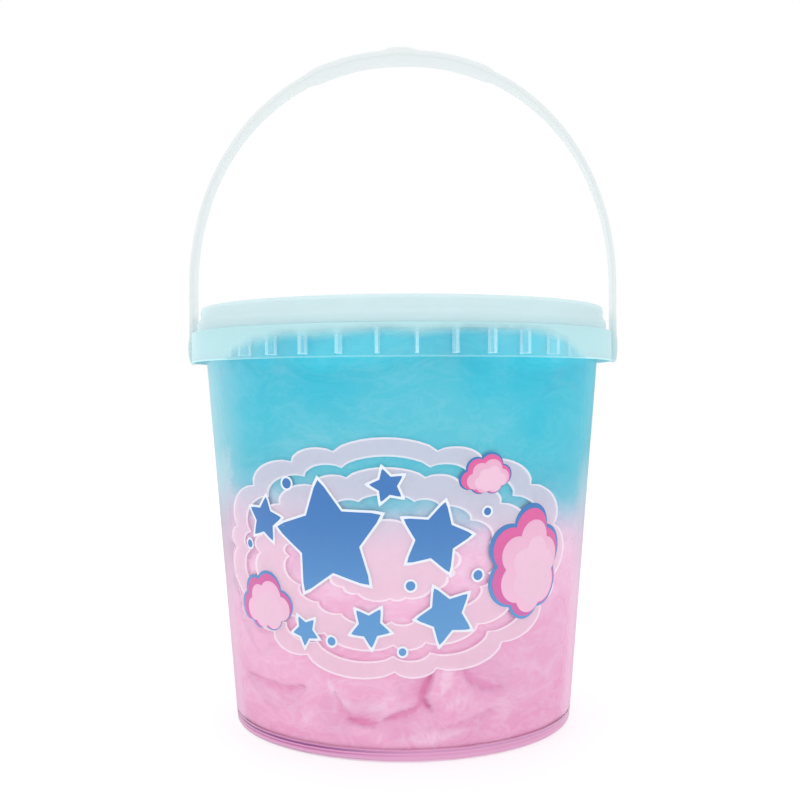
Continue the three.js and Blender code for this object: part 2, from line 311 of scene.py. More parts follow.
# What the wall bends into sight at its very edge: (height in millimetres, colour of the sugar behind it).
EDGE_TINTS = (
    (0, (0.80, 0.50, 0.67)),
    (31, (0.80, 0.50, 0.67)),
    (54, (0.78, 0.53, 0.69)),
    (73, (0.70, 0.52, 0.66)),
    (92, (0.42, 0.58, 0.68)),
    (112, (0.10, 0.49, 0.61)),
    (158, (0.10, 0.55, 0.68)),
)
# The skirt turns milky between two heights; sooner where it is seen edge on, and towards the left.
MILKY_FROM, MILKY_TO = 154.3 * MM, 161.3 * MM
EDGE_ON_RISE = 85 * MM
RISE_LEAN = -0.02
FOG = 4.5 * MM
MOST_MILKY = 0.92


def see_through(
    name, haze, tint, roughness, milky_above=False, shine=0.3, glow=0.0, haze_scales=(), haze_tint_by_place=None, edge=None
):
    """A thin clear plastic skin: what is behind it shows, milky where it is seen edge on, and it mirrors.
    haze is (facing where it starts, facing where it is full, share head on, share edge on). shine is how
    much it mirrors edge on, and glow is a painted glow: how brightly its tint shines as emission, evenly,
    its shaded parts too. dust lists where the haze is scaled, as (axis, from, to, scale of the haze at from,
    scale at to); scaled along X it is painted light, more of the pale haze on the left, where the light
    falls. dusty is (axis, from, to, tint at to), where the haze's tint changes. edge says where the colour
    of the sugar fills the edge, as haze does."""
    material, tree, milk = new_material(
        name, Base_Color=tint, Roughness=0.5, Emission_Color=tint, Emission_Strength=glow
    )
    at, axes = on_piece(tree)
    ripple = noise(tree, at, 60.0, 4.0, 0.6)[0]
    behind = put(tree, "ShaderNodeBsdfTransparent", {"Color": (0.99, 0.995, 1.0)}).outputs[0]
    if edge:
        sugar = tints_along(tree, axes["Z"], EDGE_TINTS)
        fill = put(tree, "ShaderNodeBsdfDiffuse", {"Color": sugar}).outputs[0]
        behind = mixed(tree, ranged(tree, facing(tree), *edge), behind, fill)
    share = ranged(tree, facing(tree), *haze)
    for axis, *way in haze_scales:
        share = calculate(tree, "MULTIPLY", share, ranged(tree, axes[axis], *way))
    if haze_tint_by_place:
        axis, start, end, other = haze_tint_by_place
        feed(milk.inputs["Base Color"], blended(tree, ranged(tree, axes[axis], start, end), tint, other))
    if milky_above:
        level = calculate(tree, "MULTIPLY_ADD", axes["X"], RISE_LEAN, axes["Z"])
        level = calculate(tree, "MULTIPLY_ADD", ripple, FOG, level)
        steep = calculate(tree, "POWER", facing(tree), 3.0)
        level = calculate(tree, "MULTIPLY_ADD", steep, EDGE_ON_RISE, level)
        share = calculate(tree, "MAXIMUM", ranged(tree, level, MILKY_FROM, MILKY_TO, 0.0, MOST_MILKY), share)
    wave = bumped(tree, ripple, 0.12, 0.001)
    gloss = put(tree, "ShaderNodeBsdfGlossy", {"Roughness": roughness, "Normal": wave}).outputs[0]
    body = mixed(tree, share, behind, milk.outputs[0])
    skin = mixed(tree, ranged(tree, facing(tree), 0.6, 1.0, 0.02, shine), body, gloss)
    feed(tree.nodes["Material Output"].inputs["Surface"], skin)
    return material


# Along X the wall's haze is painted light: more of it on the left, where the light falls. Along Z it thins
# low down, and its tint turns from a greyish mauve low down to a pale cyan above.
clear_plastic = see_through(
    "clear_polypropylene",
    (0.36, 1.0, 0.0, 0.52),
    (0.42, 0.33, 0.43),
    0.12,
    shine=0.12,
    haze_scales=(("X", -30 * MM, 45 * MM, 1.0, 0.15), ("Z", 42 * MM, 74 * MM, 0.4, 1.0)),
    haze_tint_by_place=("Z", 82 * MM, 104 * MM, (0.60, 0.76, 0.80)),
    edge=(0.64, 0.8, 0.0, 0.85),
)

# The moulded foot bends the pink floss above it into lines, painted refraction; the darkest lines, where the
# floss meets the base, are painted shade: (height in millimetres, colour, share seen).
FOOT_LINES = (
    (0.0, (0.86, 0.74, 0.82), 0.9),
    (0.6, (0.82, 0.66, 0.76), 0.9),
    (1.0, (0.48, 0.27, 0.42), 0.85),
    (1.5, (0.74, 0.38, 0.60), 0.8),
    (2.2, (0.78, 0.34, 0.59), 0.75),
    (2.6, (0.46, 0.12, 0.34), 0.85),
    (2.9, (0.50, 0.14, 0.37), 0.85),
    (3.3, (0.86, 0.36, 0.62), 0.8),
    (3.7, (0.20, 0.04, 0.20), 0.9),
    (4.2, (0.22, 0.05, 0.21), 0.9),
    (4.7, (0.80, 0.34, 0.60), 0.75),
    (5.2, (0.80, 0.36, 0.61), 0.0),
    (5.6, (0.80, 0.36, 0.61), 0.0),
)
FOOT_ZONE = FOOT_LINES[-1][0] * MM
FOOT_SHAKE = 0.8 * MM
# Towards the right the lines fade into the pink: places along X, and the most that they fade.
FOOT_FADE = (-38 * MM, 12 * MM, 0.0, 0.62)
FOOT_PINK = (0.80, 0.40, 0.63)

foot_plastic, tree, foot_haze = new_material("clear_foot_on_pink", Roughness=0.25)
at, axes = on_piece(tree)
shaken = calculate(tree, "MULTIPLY_ADD", noise(tree, at, 45.0, 5.0, 0.75)[0], FOOT_SHAKE, axes["Z"])
lines = tints_along(tree, shaken, [row[:2] for row in FOOT_LINES], FOOT_SHAKE / 2)
share = tints_along(tree, shaken, [(height, [seen] * 3) for height, _, seen in FOOT_LINES], FOOT_SHAKE / 2)
feed(foot_haze.inputs["Base Color"], blended(tree, ranged(tree, axes["X"], *FOOT_FADE), lines, FOOT_PINK))
clear = put(tree, "ShaderNodeBsdfTransparent").outputs[0]
feed(tree.nodes["Material Output"].inputs["Surface"], mixed(tree, share, clear, foot_haze.outputs[0]))

TUB_PROFILE = [
    (0, FOOT_H),
    (WALL_FOOT_R - FOOT_WALL - FOOT_DRAFT, FOOT_H, FOOT_DRAFT),
    (WALL_FOOT_R - FOOT_WALL, 0),
    (WALL_FOOT_R, 0, 1.6 * MM),
    (wall_radius(FOOT_ZONE), FOOT_ZONE),
    (RIM_OUT, FLANGE_LOW),
    (RIM_OUT, RIM_TOP, 0.4 * MM),
    (RIM_IN, RIM_TOP, 0.4 * MM),
    (RIM_IN, COLLAR_TOP),
    (wall_radius(FLOOR_TOP) - WALL, FLOOR_TOP, 3.5 * MM),
    (0, FLOOR_TOP),
]
tub_wall = mesh_piece("tub_wall", *turned(rounded(TUB_PROFILE)), clear_plastic)
tub_wall.data.materials.append(foot_plastic)
for face in tub_wall.data.polygons:
    face.material_index = int(face.center.z < FOOT_ZONE)
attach(tub_wall, "pail")
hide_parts("tub")


# ---- Collar: flange, skirt, ribs and ear walls -----------------------------------------------------------
# Moulded in one with the tub: a flange runs out from the wall under the lid's edge, a skirt hangs from it,
# and thin upright ribs brace the skirt against the wall. Walls close it off at the handle's ends, where it
# has no ribs but a hole for each pin.

COLLAR_T = 1.1 * MM
COLLAR_IN = COLLAR_R - COLLAR_T
COLLAR_LOW = 146.3 * MM
COLLAR_FOOT = RIM_OUT - 0.05 * MM
RIB_COUNT = 38
RIB_PHASE = math.radians(6.0)
RIB_T = 0.9 * MM
RIB_BEAD = 0.35 * MM
RIB_LOW = COLLAR_LOW + 1.3 * MM
EAR_HALF_ANGLE = math.radians(17.0)
EAR_T = 1.3 * MM
BURY = 0.3 * MM
SKIRT_BEAD = 0.55 * MM
PIVOT_Z = 152.9 * MM
HOLE_R = 3.0 * MM

# The skirt's finishes have a painted glow, an emission in their tint that lights their shaded parts under
# the flange and inside. Along X the skirt's haze is painted light, more of it on the left, where the light
# falls. Toward the skirt's lower edge its tint turns a little darker.
SKIRT_HAZE = (0.1, 0.75, 0.02, 0.6)
SKIRT_TINT = (0.335, 0.54, 0.57)
milky_plastic = see_through(
    "milky_skirt",
    SKIRT_HAZE,
    SKIRT_TINT,
    0.2,
    milky_above=True,
    shine=0.08,
    glow=0.33,
    haze_scales=(("X", -20 * MM, 50 * MM, 1.0, 0.65),),
    haze_tint_by_place=("Z", 150 * MM, 147 * MM, (0.33, 0.50, 0.54)),
)
skirt_inside = see_through("skirt_inside", SKIRT_HAZE, SKIRT_TINT, 0.2, shine=0.08, glow=0.33)
skirt_bead = see_through(
    "skirt_bead", (0.1, 0.75, 0.24, 0.4), (0.37, 0.66, 0.69), 0.2, milky_above=True, shine=0.08, glow=0.33
)
# The ribs have a faint painted glow. Their beads are a paler tint with a stronger painted glow, a painted
# highlight along the rib edges.
rib_plastic = see_through("thin_rib", (0.2, 0.8, 0.1, 0.4), (0.50, 0.80, 0.87), 0.2, glow=0.1)
bead_plastic = see_through("bright_bead", (0.1, 0.8, 0.2, 0.45), (0.78, 0.98, 1.0), 0.2, glow=0.2)


def as_plain_mesh(piece):
    """The piece with its modifiers worked into its mesh."""
    shape = piece.evaluated_get(bpy.context.evaluated_depsgraph_get())
    mesh = bpy.data.meshes.new_from_object(shape)
    piece.modifiers.clear()
    piece.data = mesh
    return piece


SKIRT_PROFILE = [
    (COLLAR_FOOT, FLANGE_LOW),
    (COLLAR_IN, FLANGE_LOW, 0.4 * MM),
    (COLLAR_IN, COLLAR_LOW, 0.2 * MM),
    (COLLAR_R, COLLAR_LOW, 0.35 * MM),
    (COLLAR_R, COLLAR_LOW + SKIRT_BEAD),
    (COLLAR_R, COLLAR_TOP, 0.7 * MM),
    (COLLAR_FOOT, COLLAR_TOP),
    (COLLAR_FOOT, FLANGE_LOW),
]
collar_skirt = mesh_piece("collar_skirt", *turned(rounded(SKIRT_PROFILE), closed=True), milky_plastic)
drills = []
for side in (-1, 1):
    bpy.ops.mesh.primitive_cylinder_add(
        vertices=48,
        radius=HOLE_R,
        depth=8 * MM,
        location=(side * COLLAR_R, 0, PIVOT_Z),
        rotation=(0, math.pi / 2, 0),
    )
    drills.append(bpy.context.object)
    bore = collar_skirt.modifiers.new("pivot_hole", "BOOLEAN")
    bore.operation = "DIFFERENCE"
    bore.solver = "EXACT"
    bore.object = drills[-1]
as_plain_mesh(collar_skirt)
for drill in drills:
    bpy.data.objects.remove(drill)
OUTSIDE, INSIDE, BEAD = 0, 1, 2
collar_skirt.data.materials.append(skirt_inside)
collar_skirt.data.materials.append(skirt_bead)
for face in collar_skirt.data.polygons:
    if math.hypot(*face.center[:2]) < COLLAR_R - COLLAR_T / 2:
        face.material_index = INSIDE if face.center.z < FLANGE_LOW - 0.1 * MM else OUTSIDE
    elif face.center.z < COLLAR_LOW + SKIRT_BEAD:
        face.material_index = BEAD
collar_skirt.visible_shadow = False
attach(collar_skirt, "pail")
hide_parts("tub")


def new_tree(name, numbers):
    """A geometry tree with a mesh in and out and named number inputs, given as name: (kind, value)."""
    tree = bpy.data.node_groups.new(name, "GeometryNodeTree")
    tree.interface.new_socket("Geometry", in_out="INPUT", socket_type="NodeSocketGeometry")
    tree.interface.new_socket("Geometry", in_out="OUTPUT", socket_type="NodeSocketGeometry")
    for title, (kind, value) in numbers.items():
        tree.interface.new_socket(title, in_out="INPUT", socket_type=kind).default_value = value
    return tree, tree.nodes.new("NodeGroupInput").outputs, tree.nodes.new("NodeGroupOutput").inputs


def grown(name, tree, base, values):
    """A piece that the tree makes on a base object, with its inputs given by name, as a plain mesh."""
    maker = base.modifiers.new(name, "NODES")
    maker.node_group = tree
    for socket in tree.interface.items_tree:
        if socket.item_type == "SOCKET" and socket.in_out == "INPUT" and socket.name in values:
            maker[socket.identifier] = values[socket.name]
    return as_plain_mesh(base)


RIB_INPUTS = {
    "Count": ("NodeSocketInt", RIB_COUNT),
    "Phase": ("NodeSocketFloat", RIB_PHASE),
    "Ear angle": ("NodeSocketFloat", EAR_HALF_ANGLE),
    "Inner radius": ("NodeSocketFloat", RIM_OUT),
    "Outer radius": ("NodeSocketFloat", COLLAR_IN),
    "Low": ("NodeSocketFloat", RIB_LOW),
    "High": ("NodeSocketFloat", FLANGE_LOW),
    "Thickness": ("NodeSocketFloat", RIB_T),
    "Bead": ("NodeSocketFloat", RIB_BEAD),
}
tree, given, made = new_tree("collar_ribs", RIB_INPUTS)


def halfway(a, b, operation="ADD"):
    """Half the sum, or half the difference, of two of the ribs' sizes."""
    return calculate(tree, "MULTIPLY", calculate(tree, operation, a, b), 0.5)


number = tree.nodes.new("GeometryNodeInputIndex").outputs[0]
step = calculate(tree, "DIVIDE", 2 * math.pi, given["Count"])
angle = calculate(tree, "ADD", calculate(tree, "MULTIPLY", number, step), given["Phase"])
past_hinge = calculate(tree, "SUBTRACT", calculate(tree, "MODULO", angle, math.pi), math.pi / 2)
in_ear = calculate(tree, "LESS_THAN", calculate(tree, "ABSOLUTE", past_hinge), given["Ear angle"])
middle = halfway(given["Inner radius"], given["Outer radius"])
depth = calculate(tree, "SUBTRACT", given["Outer radius"], given["Inner radius"])
height = calculate(tree, "SUBTRACT", given["High"], given["Low"])
right = calculate(tree, "MULTIPLY", calculate(tree, "SINE", angle), middle)
forward = calculate(tree, "MULTIPLY", calculate(tree, "COSINE", angle), middle)
back = calculate(tree, "MULTIPLY", forward, -1.0)
spot = put(tree, "ShaderNodeCombineXYZ", {"X": right, "Y": back, "Z": halfway(given["High"], given["Low"])})
spots = put(tree, "GeometryNodePoints", {"Count": given["Count"], "Position": spot.outputs[0]})
spare = {"Geometry": spots.outputs[0], "Selection": in_ear}
without_ears = put(tree, "GeometryNodeDeleteGeometry", spare, domain="POINT")


def bar(thick, deep, high, outward, upward, is_bead):
    """A block in the rib's own place, shifted outward and upward, and marked as a bead or not."""
    size = put(tree, "ShaderNodeCombineXYZ", {0: thick, 1: deep, 2: high}).outputs[0]
    shift = put(tree, "ShaderNodeCombineXYZ", {1: outward, 2: upward}).outputs[0]
    block = put(tree, "GeometryNodeMeshCube", {"Size": size}).outputs["Mesh"]
    moved = put(tree, "GeometryNodeTransform", {"Geometry": block, "Translation": shift}).outputs[0]
    mark = {"Geometry": moved, "Name": "bead", "Value": is_bead}
    return put(tree, "GeometryNodeStoreNamedAttribute", mark, data_type="BOOLEAN", domain="FACE").outputs[0]


plate_t, bead = given["Thickness"], given["Bead"]
bead_wide = calculate(tree, "MULTIPLY_ADD", bead, 0.5, plate_t)
inward = halfway(depth, bead, "SUBTRACT")
outward = calculate(tree, "MULTIPLY", inward, -1.0)
down = halfway(bead, height, "SUBTRACT")
rib = put(tree, "GeometryNodeJoinGeometry")
for block in (
    bar(plate_t, depth, height, 0.0, 0.0, False),
    bar(bead_wide, bead, height, outward, 0.0, True),
    bar(bead_wide, bead, height, inward, 0.0, True),
    bar(bead_wide, depth, bead, 0.0, down, True),
):
    feed(rib.inputs[0], block)
at_spot = tree.nodes.new("GeometryNodeInputPosition").outputs[0]
spot_axes = put(tree, "ShaderNodeSeparateXYZ", {0: at_spot}).outputs
faced = calculate(tree, "ARCTAN2", spot_axes["X"], calculate(tree, "MULTIPLY", spot_axes["Y"], -1.0))
turn = put(tree, "ShaderNodeCombineXYZ", {"Z": faced}).outputs[0]
copies = {"Points": without_ears.outputs[0], "Instance": rib.outputs[0], "Rotation": turn}
ribs = put(tree, "GeometryNodeInstanceOnPoints", copies).outputs[0]
ribs = put(tree, "GeometryNodeRealizeInstances", {0: ribs}).outputs[0]
ribs = put(tree, "GeometryNodeSetMaterial", {"Geometry": ribs, "Material": rib_plastic}).outputs[0]
on_bead = put(tree, "GeometryNodeInputNamedAttribute", {"Name": "bead"}, data_type="BOOLEAN")
beaded = {"Geometry": ribs, "Selection": on_bead.outputs["Attribute"], "Material": bead_plastic}
feed(made[0], put(tree, "GeometryNodeSetMaterial", beaded).outputs[0])

collar_ribs = grown(
    "ribs",
    tree,
    mesh_piece("collar_ribs", [(0, 0, 0)], []),
    {
        "Ear angle": EAR_HALF_ANGLE + math.radians(1),
        "Inner radius": wall_radius(COLLAR_LOW),
        "Outer radius": COLLAR_IN + BURY,
        "High": FLANGE_LOW + BURY,
    },
)
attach(collar_ribs, "pail")
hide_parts("tub")

ear_vertices, ear_faces = [], []
for hinge_side in (math.pi / 2, -math.pi / 2):
    for turn in (-EAR_HALF_ANGLE, EAR_HALF_ANGLE):
        spin = Matrix.Rotation(hinge_side + turn, 3, "Z")
        first = len(ear_vertices)
        near, far = wall_radius(COLLAR_LOW), COLLAR_IN + BURY
        for z in (COLLAR_LOW, FLANGE_LOW + BURY):
            for r, half in ((near, -1), (near, 1), (far, 1), (far, -1)):
                ear_vertices.append(spin @ Vector((half * EAR_T / 2, -r, z)))
        for face in ((0, 1, 2, 3), (7, 6, 5, 4), (0, 4, 5, 1), (1, 5, 6, 2), (2, 6, 7, 3), (3, 7, 4, 0)):
            ear_faces.append([first + i for i in face])
collar_ears = mesh_piece("collar_ear_walls", ear_vertices, ear_faces, milky_plastic)
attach(collar_ears, "pail")
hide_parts("tub")


# ---- Lid: sunk panel, channel over the rim, two-step lip -------------------------------------------------
# Press-on lid of natural, cloudy polypropylene: a two-step lip outside the rim, a channel over it, a plug
# leg inside it and a panel sunk inside the rim, with a low ring that centres the foot of a pail stacked on
# top.

LID_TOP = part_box("lid")[1].z
LID_LIP_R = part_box("lid")[1].x
LID_R = LID_LIP_R - 1.3 * MM
LID_LOW = COLLAR_TOP + 0.1 * MM
LIP_STEP = (161.8 * MM, 163.9 * MM)
LID_T = 1.15 * MM
LID_PANEL = 161.2 * MM
CHANNEL_TOP = LID_TOP - LID_T
PLUG_R = RIM_IN - 0.7 * MM
STACK_RING_R = 64.0 * MM
STACK_RING_TOP = LID_PANEL + 0.9 * MM
GATE_R = 1.6 * MM
GATE_H = 0.25 * MM
TURNING_RINGS = 5
TURNING_H = 0.12 * MM


def cloudy(name, colour, glow, through=0.0, low=None, painted_glow=0.0):
    """Natural polypropylene: pale and soft, passes some light on, and shows a share of what is behind it.
    low is (from height, to height, colour): between them the plastic turns to that colour, downward.
    painted_glow is a painted glow: how brightly the plastic's colour shines as emission, evenly all over,
    its shaded parts too."""
    material, tree, shader = new_material(name, Emission_Strength=painted_glow)
    at, axes = on_piece(tree)
    mist = noise(tree, at, 42.0, 3.0, distortion=0.6)[0]
    base = blended(tree, mist, [c * 0.965 for c in colour], [min(c * 1.03, 1.0) for c in colour])
    if low:
        base = blended(tree, ranged(tree, axes["Z"], low[1], low[0]), base, low[2])
    feed(shader.inputs["Base Color"], base)
    feed(shader.inputs["Emission Color"], base)
    feed(shader.inputs["Roughness"], ranged(tree, mist, 0.3, 0.7, 0.3, 0.46, "LINEAR"))
    feed(shader.inputs["Normal"], bumped(tree, noise(tree, at, 160.0, 2.0)[0], 0.1, 0.0003))
    back_light = put(tree, "ShaderNodeBsdfTranslucent", {"Color": glow}).outputs[0]
    finish = mixed(tree, 0.25, shader.outputs[0], back_light)
    if through:
        finish = mixed(tree, through, finish, put(tree, "ShaderNodeBsdfTransparent").outputs[0])
    feed(tree.nodes["Material Output"].inputs["Surface"], finish)
    return material


cloudy_plastic = cloudy("natural_polypropylene", (0.785, 0.915, 0.93), (0.66, 0.90, 0.95), through=0.26)

panel_outline = [(0, LID_PANEL + GATE_H), (GATE_R, LID_PANEL + GATE_H), (GATE_R + 0.3 * MM, LID_PANEL)]
for i in range(TURNING_RINGS):
    r = GATE_R + (STACK_RING_R - 6 * MM) * (i + 1) / (TURNING_RINGS + 1)
    panel_outline += [(r - 0.5 * MM, LID_PANEL), (r, LID_PANEL + TURNING_H), (r + 0.5 * MM, LID_PANEL)]
LID_PROFILE = [
    (0, LID_PANEL - LID_T),
    (PLUG_R, LID_PANEL - LID_T, 0.9 * MM),
    (PLUG_R, CHANNEL_TOP, 0.3 * MM),
    (LID_R - LID_T, CHANNEL_TOP, 0.3 * MM),
    (LID_R - LID_T, LIP_STEP[1]),
    (LID_LIP_R - LID_T, LIP_STEP[0]),
    (LID_LIP_R - LID_T, LID_LOW, 0.2 * MM),
    (LID_LIP_R, LID_LOW, 0.2 * MM),
    (LID_LIP_R, LIP_STEP[0], 0.4 * MM),
    (LID_R, LIP_STEP[1], 0.6 * MM),
    (LID_R, LID_TOP, 1.7 * MM),
    (PLUG_R - LID_T, LID_TOP, 0.9 * MM),
    (PLUG_R - LID_T - 0.4 * MM, LID_PANEL, 1.2 * MM),
    (STACK_RING_R + 1.2 * MM, LID_PANEL, 0.3 * MM),
    (STACK_RING_R + 0.6 * MM, STACK_RING_TOP, 0.3 * MM),
    (STACK_RING_R - 0.6 * MM, STACK_RING_TOP, 0.3 * MM),
    (STACK_RING_R - 1.2 * MM, LID_PANEL, 0.3 * MM),
    *reversed(panel_outline),
]
lid = mesh_piece("press_lid", *turned(rounded(LID_PROFILE)), cloudy_plastic)
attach(lid, "pail")
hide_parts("lid")


# ---- Handle: a band with a grip and a pad at its crown, tabs and pins ------------------------------------
# One moulding of pale polypropylene. The flat band is wider and thicker along the grip, with a domed pad at
# the crown; each end is backed by a round tab whose pin goes through a hole of the collar.

BAIL_X = 88.45 * MM
BAIL_SPRING_Z = 177 * MM
BAIL_TOP = 274.8 * MM
BAIL_FULLNESS = 2.1
STRAIGHT_SHARE = 0.1
STRAND = {"wide": 10.4, "thick": 1.9}
NECK = {"wide": 13.2, "thick": 2.0, "run": 60}
GRIP = {"wide": 17, "thick": 2.7, "half": 38.5, "shoulder": 5}
PAD = {"wide": 19.4, "thick": 3.5, "half": 7.8, "dome": 5.5, "lift": 0.5}
EYE = {"wide": 10.9, "thick": 1.9, "plain": 4, "run": 12}
TAB_R = 6.8 * MM
TAB_IN = COLLAR_R + 0.35 * MM
TAB_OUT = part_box("handle")[1].x
TAB_STEPS = 72
PIN_R = 2.6 * MM
PIN_HEAD_R = 3.4 * MM
PIN_HEAD_OUT = COLLAR_IN - 0.35 * MM
PIN_HEAD_T = 1.6 * MM
BAND_STATIONS = 360
FINE_STEPS = 4000
EDGE_SOFT = 0.36


def ease(x, low, high):
    """From 0 below low to 1 above high, smoothly."""
    t = min(max((x - low) / (high - low), 0), 1)
    return t * t * (3 - 2 * t)


def band_line(count):
    """Points on the middle line of the band at equal distances, with their distances in millimetres."""
    fine = []
    for i in range(FINE_STEPS + 1):
        t = i / FINE_STEPS
        from_end = min(t, 1 - t)
        side = -1 if t < 0.5 else 1
        if from_end < STRAIGHT_SHARE:
            z = PIVOT_Z + (BAIL_SPRING_Z - PIVOT_Z) * from_end / STRAIGHT_SHARE
            fine.append(Vector((side * BAIL_X, 0, z)))
            continue
        turn = math.pi / 2 * (from_end - STRAIGHT_SHARE) / (0.5 - STRAIGHT_SHARE)
        out = max(math.cos(turn), 0) ** (2 / BAIL_FULLNESS)
        rise = math.sin(turn) ** (2 / BAIL_FULLNESS)
        fine.append(Vector((side * BAIL_X * out, 0, BAIL_SPRING_Z + (BAIL_TOP - BAIL_SPRING_Z) * rise)))
    travelled = [0.0]
    for a, b in zip(fine, fine[1:]):
        travelled.append(travelled[-1] + (b - a).length)
    points, k = [], 0
    for i in range(count + 1):
        at = travelled[-1] * i / count
        while k < len(fine) - 2 and travelled[k + 1] < at:
            k += 1
        share = (at - travelled[k]) / max(travelled[k + 1] - travelled[k], 1e-9)
        points.append((fine[k].lerp(fine[k + 1], share), at / MM))
    return points, travelled[-1] / MM


def band_size(from_crown, from_end):
    """Width, thickness and outward lift of the band, in millimetres."""
    neck = 1 - ease(from_crown, GRIP["half"], GRIP["half"] + NECK["run"])
    grip = 1 - ease(from_crown, GRIP["half"] - GRIP["shoulder"] / 2, GRIP["half"] + GRIP["shoulder"] / 2)
    pad = 1 - ease(from_crown, PAD["half"] - PAD["dome"], PAD["half"] + 1)
    eye = 1 - ease(from_end, EYE["plain"], EYE["plain"] + EYE["run"])
    sizes = []
    for key in ("wide", "thick"):
        size = STRAND[key]
        for part, share in ((NECK, neck), (EYE, eye), (GRIP, grip), (PAD, pad)):
            size += (part[key] - size) * share
        sizes.append(size)
    return (*sizes, PAD["lift"] * pad)


def band_section(wide, thick):
    """A flat oblong with well rounded edges, as points (across, outward)."""
    soft = EDGE_SOFT * thick
    points = []
    for corner, (across, outward) in enumerate(((1, -1), (1, 1), (-1, 1), (-1, -1))):
        for k in range(5):
            a = math.pi / 2 * (corner - 1 + k / 4)
            x = across * (wide / 2 - soft) + soft * math.cos(a)
            points.append((x, outward * (thick / 2 - soft) + soft * math.sin(a)))
    return points


line, band_length = band_line(BAND_STATIONS)
band_vertices, band_faces = [], []
for i, (here, at) in enumerate(line):
    along = (line[min(i + 1, BAND_STATIONS)][0] - line[max(i - 1, 0)][0]).normalized()
    wide, thick, lift = band_size(abs(at - band_length / 2), min(at, band_length - at))
    section = band_section(wide, thick)
    for y, n in section:
        out = (n + lift) * MM
        band_vertices.append((here.x - out * along.z, y * MM, here.z + out * along.x))
sides = len(section)
for i in range(BAND_STATIONS):
    for j in range(sides):
        a, b = i * sides + j, i * sides + (j + 1) % sides
        band_faces.append((a, b, b + sides, a + sides))
band_faces.append(tuple(reversed(range(sides))))
band_faces.append(tuple(BAND_STATIONS * sides + j for j in range(sides)))

# Where the band runs beside the cloudy collar and lid its colour turns darker and bluer, a painted shade and
# a painted reflection of their blue. The band also has a painted glow, an emission in its own colour.
PAINTED_BLUE_SHADE = (150 * MM, 170 * MM, (0.31, 0.40, 0.415))
handle_plastic = cloudy(
    "pale_polypropylene", (0.43, 0.447, 0.449), (0.92, 0.95, 0.95), low=PAINTED_BLUE_SHADE, painted_glow=0.85
)


def recalculated(piece):
    """The piece with its faces turned outward."""
    shell = bmesh.new()
    shell.from_mesh(piece.data)
    bmesh.ops.recalc_face_normals(shell, faces=shell.faces)
    shell.to_mesh(piece.data)
    shell.free()
    return piece


handle_band = recalculated(mesh_piece("handle_band", band_vertices, band_faces, handle_plastic, 50))
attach(handle_band, "bail")
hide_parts("handle")

# The tab, its pin and the pin's head are one profile, turned about the hinge axis.
TAB_PROFILE = [
    (0, PIN_HEAD_OUT - PIN_HEAD_T),
    (PIN_HEAD_R, PIN_HEAD_OUT - PIN_HEAD_T, 0.6 * MM),
    (PIN_HEAD_R, PIN_HEAD_OUT, 0.2 * MM),
    (PIN_R, PIN_HEAD_OUT),
    (PIN_R, TAB_IN, 0.2 * MM),
    (TAB_R, TAB_IN, 0.4 * MM),
    (TAB_R, TAB_OUT, 0.7 * MM),
    (0, TAB_OUT),
]
for side, word in ((-1, "left"), (1, "right")):
    vertices, faces = turned(rounded(TAB_PROFILE), TAB_STEPS)
    vertices = [(side * z, y, PIVOT_Z + x) for x, y, z in vertices]
    tab = recalculated(mesh_piece(f"handle_tab_{word}", vertices, faces, handle_plastic, 40))
    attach(tab, "bail")
    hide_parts("handle")


# ---- Floss: pink below, blue above -----------------------------------------------------------------------
# Spun sugar packed into the tub until it presses flat against the wall. Both colours are laid in as soft
# wads: their folds leave creases at the wall, most of them low in the pink, and where they meet they fade
# together. The creases are darkened with painted shade.

PRESS_IN = 0.3 * MM
FLOSS_SEAM = 98 * MM
FLOSS_LOW = FLOOR_TOP - 0.3 * MM
FLOSS_TOP = 157.4 * MM
SEAM_WAVE = 4 * MM
FLOSS_SEED = 3.0
FLOSS_STEPS = 600
FLOSS_ROW = 0.85 * MM
CAP_RINGS = 16

FLOSS_INPUTS = {
    "Fold depth": ("NodeSocketFloat", 2.6 * MM),
    "Fold size": ("NodeSocketFloat", 42.0),
    "Fold reach low": ("NodeSocketFloat", 30 * MM),
    "Fold reach high": ("NodeSocketFloat", 70 * MM),
    "Fold share above": ("NodeSocketFloat", 0.25),
    "Puff depth": ("NodeSocketFloat", 0.2 * MM),
    "Fibre depth": ("NodeSocketFloat", 0.04 * MM),
    "Side from": ("NodeSocketFloat", 60 * MM),
    "Side to": ("NodeSocketFloat", 68 * MM),
    "Seed": ("NodeSocketFloat", FLOSS_SEED),
}
tree, given, made = new_tree("packed_floss", FLOSS_INPUTS)
tree.interface.new_socket("Finish", in_out="INPUT", socket_type="NodeSocketMaterial")


def vector_sum(tree, operation, a, b):
    """One sum on places."""
    return calculate(tree, operation, a, b, kind="ShaderNodeVectorMath")


def swirled(tree, at, way, reach):
    """The point moved about by a three-way noise value."""
    off_centre = vector_sum(tree, "SUBTRACT", way, (0.5, 0.5, 0.5))
    return vector_sum(tree, "ADD", at, vector_sum(tree, "MULTIPLY", off_centre, reach))


def kept_as(tree, geometry, name, value):
    """The geometry with a value kept at its points under a name."""
    inputs = {"Geometry": geometry, "Name": name, "Value": value}
    return put(tree, "GeometryNodeStoreNamedAttribute", inputs, data_type="FLOAT", domain="POINT").outputs[0]


